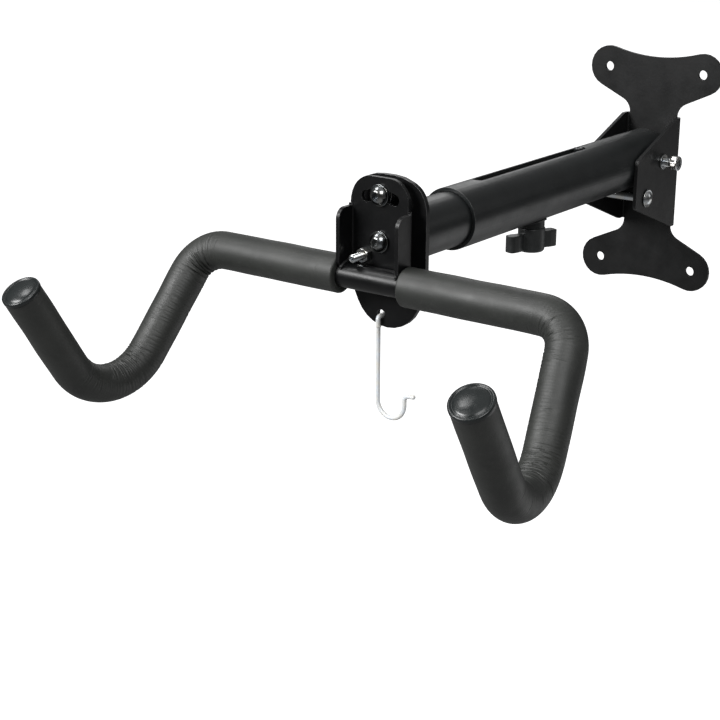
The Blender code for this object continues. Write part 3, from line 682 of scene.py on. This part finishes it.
def foam_sleeve(tag, side, seed, pinch):
    """Foam sleeve pushed over the bent bar: it puckers inside each bend and along the leg between them."""
    node = f"foam_{tag}"
    path = rounded(
        [Vector((FOAM_START, BAR_Y, BAR_Z)), SHOULDER, TROUGH, TIP], [0, SHOULDER_BEND, TROUGH_BEND, 0],
    )
    path = [mirrored(p, side) for p in path]
    points, tang, q = even(path, RINGS)
    sides = 96
    curve = np.gradient(tang, q, axis=0)
    width = int(9 * MM / RINGS)
    window = np.hanning(width + 2)[1:-1]
    window /= window.sum()
    padded = np.pad(curve, ((width, width), (0, 0)), mode="edge")
    smooth = np.stack([np.convolve(padded[:, k], window, "same") for k in range(3)], 1)[width:-width]
    bend = np.linalg.norm(smooth, axis=1)
    wide = int(34 * MM / RINGS)
    wide_window = np.hanning(wide + 2)[1:-1]
    near = np.convolve(np.pad(bend, wide, mode="edge"), wide_window / wide_window.sum(), "same")[wide:-wide]
    near = near / near.max()
    # the leg between the bends was slid furthest, so it stays gathered too
    shoulder = q[int(np.argmax(bend))]
    leg = 1 / (1 + np.exp(-(q - shoulder - 8 * MM) / (5 * MM))) / (1 + np.exp((q - shoulder - 118 * MM) / (12 * MM)))
    at_shoulder = np.exp(-(((q - shoulder) / (26 * MM)) ** 4))
    gathered = np.clip(near * (1 - (1 - pinch) * at_shoulder) + 0.42 * leg, 0, 1)
    # direction towards the inside of the nearest bend, carried along the straight runs
    kernel = np.exp(-0.5 * (np.arange(-int(60 * MM / RINGS), int(60 * MM / RINGS) + 1) * RINGS / (16 * MM)) ** 2)
    inside = np.stack([np.convolve(smooth[:, k], kernel, "same") for k in range(3)], 1)
    inside -= tang * (inside * tang).sum(1)[:, None]
    length = np.linalg.norm(inside, axis=1)
    fallback = carried(tang, (0, -0.3, -1))
    inside = np.where((length > 1e-6)[:, None], inside / np.maximum(length, 1e-9)[:, None], fallback)
    up = carried(tang, (0, 0.2, 1))
    across = np.cross(up, tang)
    theta_in = np.arctan2((inside * up).sum(1), (inside * across).sum(1))
    angles = 2 * np.pi * np.arange(sides) / sides
    off = (angles[None, :] - theta_in[:, None] + np.pi) % (2 * np.pi) - np.pi

    rng = np.random.RandomState(seed)
    radii = np.full((len(q), sides), FOAM_R)
    # long soft unevenness of the moulded sleeve
    for _ in range(26):
        f = rng.uniform(40, 190)
        m = rng.randint(0, 4)
        radii += 0.018 * MM * np.sin(q[:, None] * f + m * angles[None, :] + rng.uniform(0, 6.28))
    # it bunches inside a bend and thins outside it
    radii += near[:, None] * (0.35 * MM * np.cos(off) - 0.1 * MM)
    # puckers: short creases across the sleeve, crowded inside and beside the bends
    chance = 0.035 + 0.965 * gathered**1.3
    chance = chance / chance.sum()
    for _ in range(230):
        k = rng.choice(len(q), p=chance)
        strength = gathered[k]
        centre = rng.normal(0, 0.85 if strength > 0.3 else 1.7)
        reach = rng.uniform(0.30, 0.95) * (0.55 + 0.6 * strength)
        depth = rng.uniform(0.16, 0.62) * MM * (0.25 + 0.85 * strength)
        thick = rng.uniform(0.45, 0.80) * MM
        slant = rng.normal(0, 1.1) * MM
        low, high = max(0, k - int(8 * MM / RINGS)), min(len(q), k + int(8 * MM / RINGS) + 1)
        d = (off[low:high] - centre + np.pi) % (2 * np.pi) - np.pi
        line = q[k] + slant * d + 0.4 * MM * np.sin(3 * d + centre * 5)
        valley = np.exp(-(((q[low:high, None] - line) / thick) ** 2))
        ridge = np.exp(-(((q[low:high, None] - line) / (2.3 * thick)) ** 2))
        radii[low:high] += (-depth * valley + 0.38 * depth * ridge) * np.exp(-((d / reach) ** 4))
    # deep folds where the shoulder turns hardest
    for shift, depth, thick in (
        (0.5 * MM, 1.7 * MM, 1.15 * MM), (-5.5 * MM, 0.9 * MM, 0.85 * MM), (5.6 * MM, 1.1 * MM, 0.9 * MM),
        (-10.5 * MM, 0.5 * MM, 0.8 * MM), (11.0 * MM, 0.7 * MM, 0.8 * MM),
    ):
        line = shoulder + shift + 0.9 * MM * np.sin(2 * off + shift * 400)
        radii -= pinch * depth * np.exp(-(((q[:, None] - line) / thick) ** 2)) * np.exp(-((off / 1.15) ** 4))
    # gathers every two or three millimetres, uneven round the sleeve
    phase = q[:, None] * 2 * np.pi / (2.4 * MM) + 2.2 * np.sin(q[:, None] * 190 + seed) + 1.1 * np.sin(
        angles[None, :] * 2 + q[:, None] * 45
    )
    patchy = 0.5 + 0.5 * np.sin(q[:, None] * 83 + 2.0 * np.sin(angles[None, :] + seed) + 1.3 * angles[None, :])
    ripple = 1 - 2 * np.abs(np.sin(phase / 2)) ** 0.8
    radii -= 0.26 * MM * ripple * (0.03 + gathered[:, None] ** 1.3) * (0.25 + 0.75 * patchy) * (0.6 + 0.4 * np.cos(off))
    radii = np.clip(radii, 11.2 * MM, 15.6 * MM)
    # rounded cut end at the bracket
    lip = 1.6 * MM
    for k, s in enumerate(q):
        if s < lip:
            radii[k] -= (FOAM_R - 12.6 * MM) * (1 - math.sqrt(max(0.0, 1 - (1 - s / lip) ** 2)))
    # the cut faces turn in to the bar
    ends = lambda rows: np.concatenate([rows[:1], rows[:1], rows, rows[-1:]])
    inner = np.full((1, sides), BAR_R + 0.2 * MM)
    bm = skin(
        ends(points), ends(across), ends(up),
        np.concatenate([inner, (radii[:1] + inner) / 2, radii, inner]), sides, cap=False,
    )
    obj = finish_mesh(node + "_skin", bm, FOAM, 60)
    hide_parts(node)
    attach(obj, "cradle")
    return obj


foam_sleeve("left", -1, 11, 1.0)
foam_sleeve("right", 1, 23, 0.6)


def end_cap(tag, side):
    node = f"end_cap_{tag}"
    along = mirrored((TIP - TROUGH).normalized(), side)
    at = mirrored(TIP, side) + along * 0.3 * MM
    dome = [(0, 5.15 * MM)]
    for k in range(1, 13):
        r = 11.2 * MM * k / 12
        dome.append((r, 5.15 * MM - 2.0 * MM * (r / (11.2 * MM)) ** 2.4))
    groove = [(11.6 * MM, 2.75 * MM), (11.9 * MM, 2.55 * MM), (12.2 * MM, 2.6 * MM), (12.5 * MM, 2.9 * MM)]
    rim = arc_profile(13.55 * MM, 2.05 * MM, 1.2 * MM, 140, 0, 10)
    skirt = [(14.8 * MM, 1.4 * MM)] + arc_profile(14.5 * MM, 0.3 * MM, 0.3 * MM, 0, -90, 3)
    stem = [(7.5 * MM, 0.0), (7.4 * MM, -0.4 * MM), (7.4 * MM, -13.4 * MM), (6.8 * MM, -14 * MM), (0, -14 * MM)]
    bm = turned(dome + groove + rim + skirt + stem, 120)
    turn = along.to_track_quat("Z", "Y").to_matrix().to_4x4()
    bmesh.ops.transform(bm, matrix=Matrix.Translation(at) @ turn, verts=bm.verts)
    obj = finish_mesh(node + "_finish", bm, CAP, 50)
    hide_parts(node)
    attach(obj, "cradle")


end_cap("left", -1)
end_cap("right", 1)

# ---------------------------------------------------------------- helmet hook
WIRE_R = 1.7 * MM
top = EYE.z - (3.3 - 1.7 - 0.35) * MM
front_y, back_y = -412.9 * MM, -402.1 * MM
shank_x, turn_z, turn_r = -13.0 * MM, -112 * MM, 12.2 * MM
hook_path = rounded(
    [
        (EYE.x, front_y, top - 8.5 * MM), (EYE.x, front_y, top), (EYE.x, back_y, top),
        (shank_x, back_y, top - 12 * MM), (shank_x, back_y, turn_z - turn_r),
        (shank_x + 2 * turn_r, back_y, turn_z - turn_r), (shank_x + 2 * turn_r, back_y, turn_z + 7.5 * MM),
        (shank_x + 2 * turn_r + 9.5 * MM, back_y, turn_z + 8.5 * MM),
    ],
    [0, 3 * MM, 3 * MM, 6 * MM, 12.1 * MM, 12.1 * MM, 4 * MM, 0],
)
swept("helmet_hook_finish", hook_path, WIRE_R, 28, 0.4 * MM, WIRE, "helmet_hook", "helmet_hook", ends=0.9 * MM)

# ---------------------------------------------------------------- studio
floor_mesh = bpy.data.meshes.new("studio_floor")
bm = bmesh.new()
bmesh.ops.create_grid(bm, x_segments=2, y_segments=2, size=13)
bm.to_mesh(floor_mesh)
bm.free()
floor = bpy.data.objects.new("studio_floor", floor_mesh)
floor.location = (0, 0, -1.35)
bpy.context.scene.collection.objects.link(floor)
paper = Nodes("studio_paper")
paper.to("Base Color", paper.tint(paper.noise(3, 2), (0.93, 0.93, 0.93), (0.95, 0.95, 0.95)))
paper.to("Roughness", 0.9)
paper.to("Specular IOR Level", 0.0)
paper.to("Emission Color", (1.0, 1.0, 1.0))
paper.to("Emission Strength", 0.97)
floor_mesh.materials.append(paper.mat)

dome_mesh = bpy.data.meshes.new("studio_backdrop")
bm = bmesh.new()
bmesh.ops.create_icosphere(bm, subdivisions=4, radius=20)
bm.to_mesh(dome_mesh)
bm.free()
dome = bpy.data.objects.new("studio_backdrop", dome_mesh)
bpy.context.scene.collection.objects.link(dome)
glow = bpy.data.materials.new("studio_white")
glow.use_nodes = True
glow.node_tree.nodes["Principled BSDF"].inputs["Base Color"].default_value = (0, 0, 0, 1)
glow.node_tree.nodes["Principled BSDF"].inputs["Emission Color"].default_value = (1, 1, 1, 1)
glow.node_tree.nodes["Principled BSDF"].inputs["Emission Strength"].default_value = 1.0
dome_mesh.materials.append(glow)
# the white surroundings are only a background: the rack is lit and mirrored by the lights below
for shell in (floor, dome):
    shell.visible_diffuse = False
    shell.visible_glossy = False
    shell.visible_transmission = False
    shell.visible_volume_scatter = False
    shell.visible_shadow = False

world = bpy.data.worlds.new("studio")
bpy.context.scene.world = world
world.use_nodes = True
tree = world.node_tree
sky = tree.nodes["Background"]
coords = tree.nodes.new("ShaderNodeTexCoord")
split = tree.nodes.new("ShaderNodeSeparateXYZ")
place = tree.nodes.new("ShaderNodeMapRange")
ramp = tree.nodes.new("ShaderNodeValToRGB")
tree.links.new(coords.outputs["Generated"], split.inputs[0])
tree.links.new(split.outputs["Z"], place.inputs["Value"])
place.inputs["From Min"].default_value = -1
tree.links.new(place.outputs["Result"], ramp.inputs["Fac"])
stops = ((0.0, 0.28), (0.22, 0.30), (0.38, 0.10), (0.50, 0.045), (0.62, 0.08), (0.80, 0.22), (1.0, 0.42))
while len(ramp.color_ramp.elements) < len(stops):
    ramp.color_ramp.elements.new(0.5)
for element, (where, level) in zip(ramp.color_ramp.elements, stops):
    element.position = where
    element.color = (level, level * 1.005, level * 1.01, 1)
tree.links.new(ramp.outputs["Color"], sky.inputs["Color"])
sky.inputs["Strength"].default_value = 1.0


def softbox(name, at, aim, size, power, tint=(1, 1, 1), size_y=None, mirrored_in_gloss=True):
    light = bpy.data.lights.new(name, "AREA")
    light.shape = "RECTANGLE"
    light.size = size
    light.size_y = size_y or size
    light.energy = power
    light.color = tint
    obj = bpy.data.objects.new(name, light)
    obj.location = at
    obj.rotation_euler = (Vector(aim) - Vector(at)).to_track_quat("-Z", "Y").to_euler()
    obj.visible_camera = False
    obj.visible_glossy = mirrored_in_gloss
    bpy.context.scene.collection.objects.link(obj)
    return obj


softbox("key", (-0.84, -1.86, 0.90), (0, -0.45, -0.05), 1.0, 34, size_y=0.6)
softbox("front_right", (1.0, -1.4, 1.18), (0.08, -0.5, -0.08), 0.9, 14)
softbox("top", (-0.78, -0.80, 1.40), (0.05, -0.50, 0), 0.5, 6)
softbox("back", (-0.75, 0.95, 0.70), (0.02, -0.3, 0), 0.8, 3)
softbox("rim", (1.5, 0.9, 0.7), (0.05, -0.3, 0), 0.7, 1.5)
softbox("under_fill", (1.0, 1.0, -0.95), (0, -0.35, -0.05), 1.2, 3.2)

# ---------------------------------------------------------------- camera
AZ, EL, ROLL, FOCAL = math.radians(36.69), math.radians(18.29), math.radians(0.27), 1652.38
camera_data = bpy.data.cameras.new("camera")
camera_data.sensor_width = 36
camera_data.lens = FOCAL / 720 * 36
camera_data.clip_end = 200
camera = bpy.data.objects.new("camera", camera_data)
forward = Vector((-math.sin(AZ) * math.cos(EL), math.cos(AZ) * math.cos(EL), -math.sin(EL)))
right = Vector((math.cos(AZ), math.sin(AZ), 0))
lift = right.cross(forward)
right, lift = right * math.cos(ROLL) + lift * math.sin(ROLL), lift * math.cos(ROLL) - right * math.sin(ROLL)
pose = Matrix((right, lift, -forward)).transposed().to_4x4()
pose.translation = Vector((674.82, -1347.8, 305.32)) * MM
camera.matrix_world = pose
bpy.context.scene.collection.objects.link(camera)
bpy.context.scene.camera = camera
bpy.context.scene.view_settings.view_transform = "Standard"
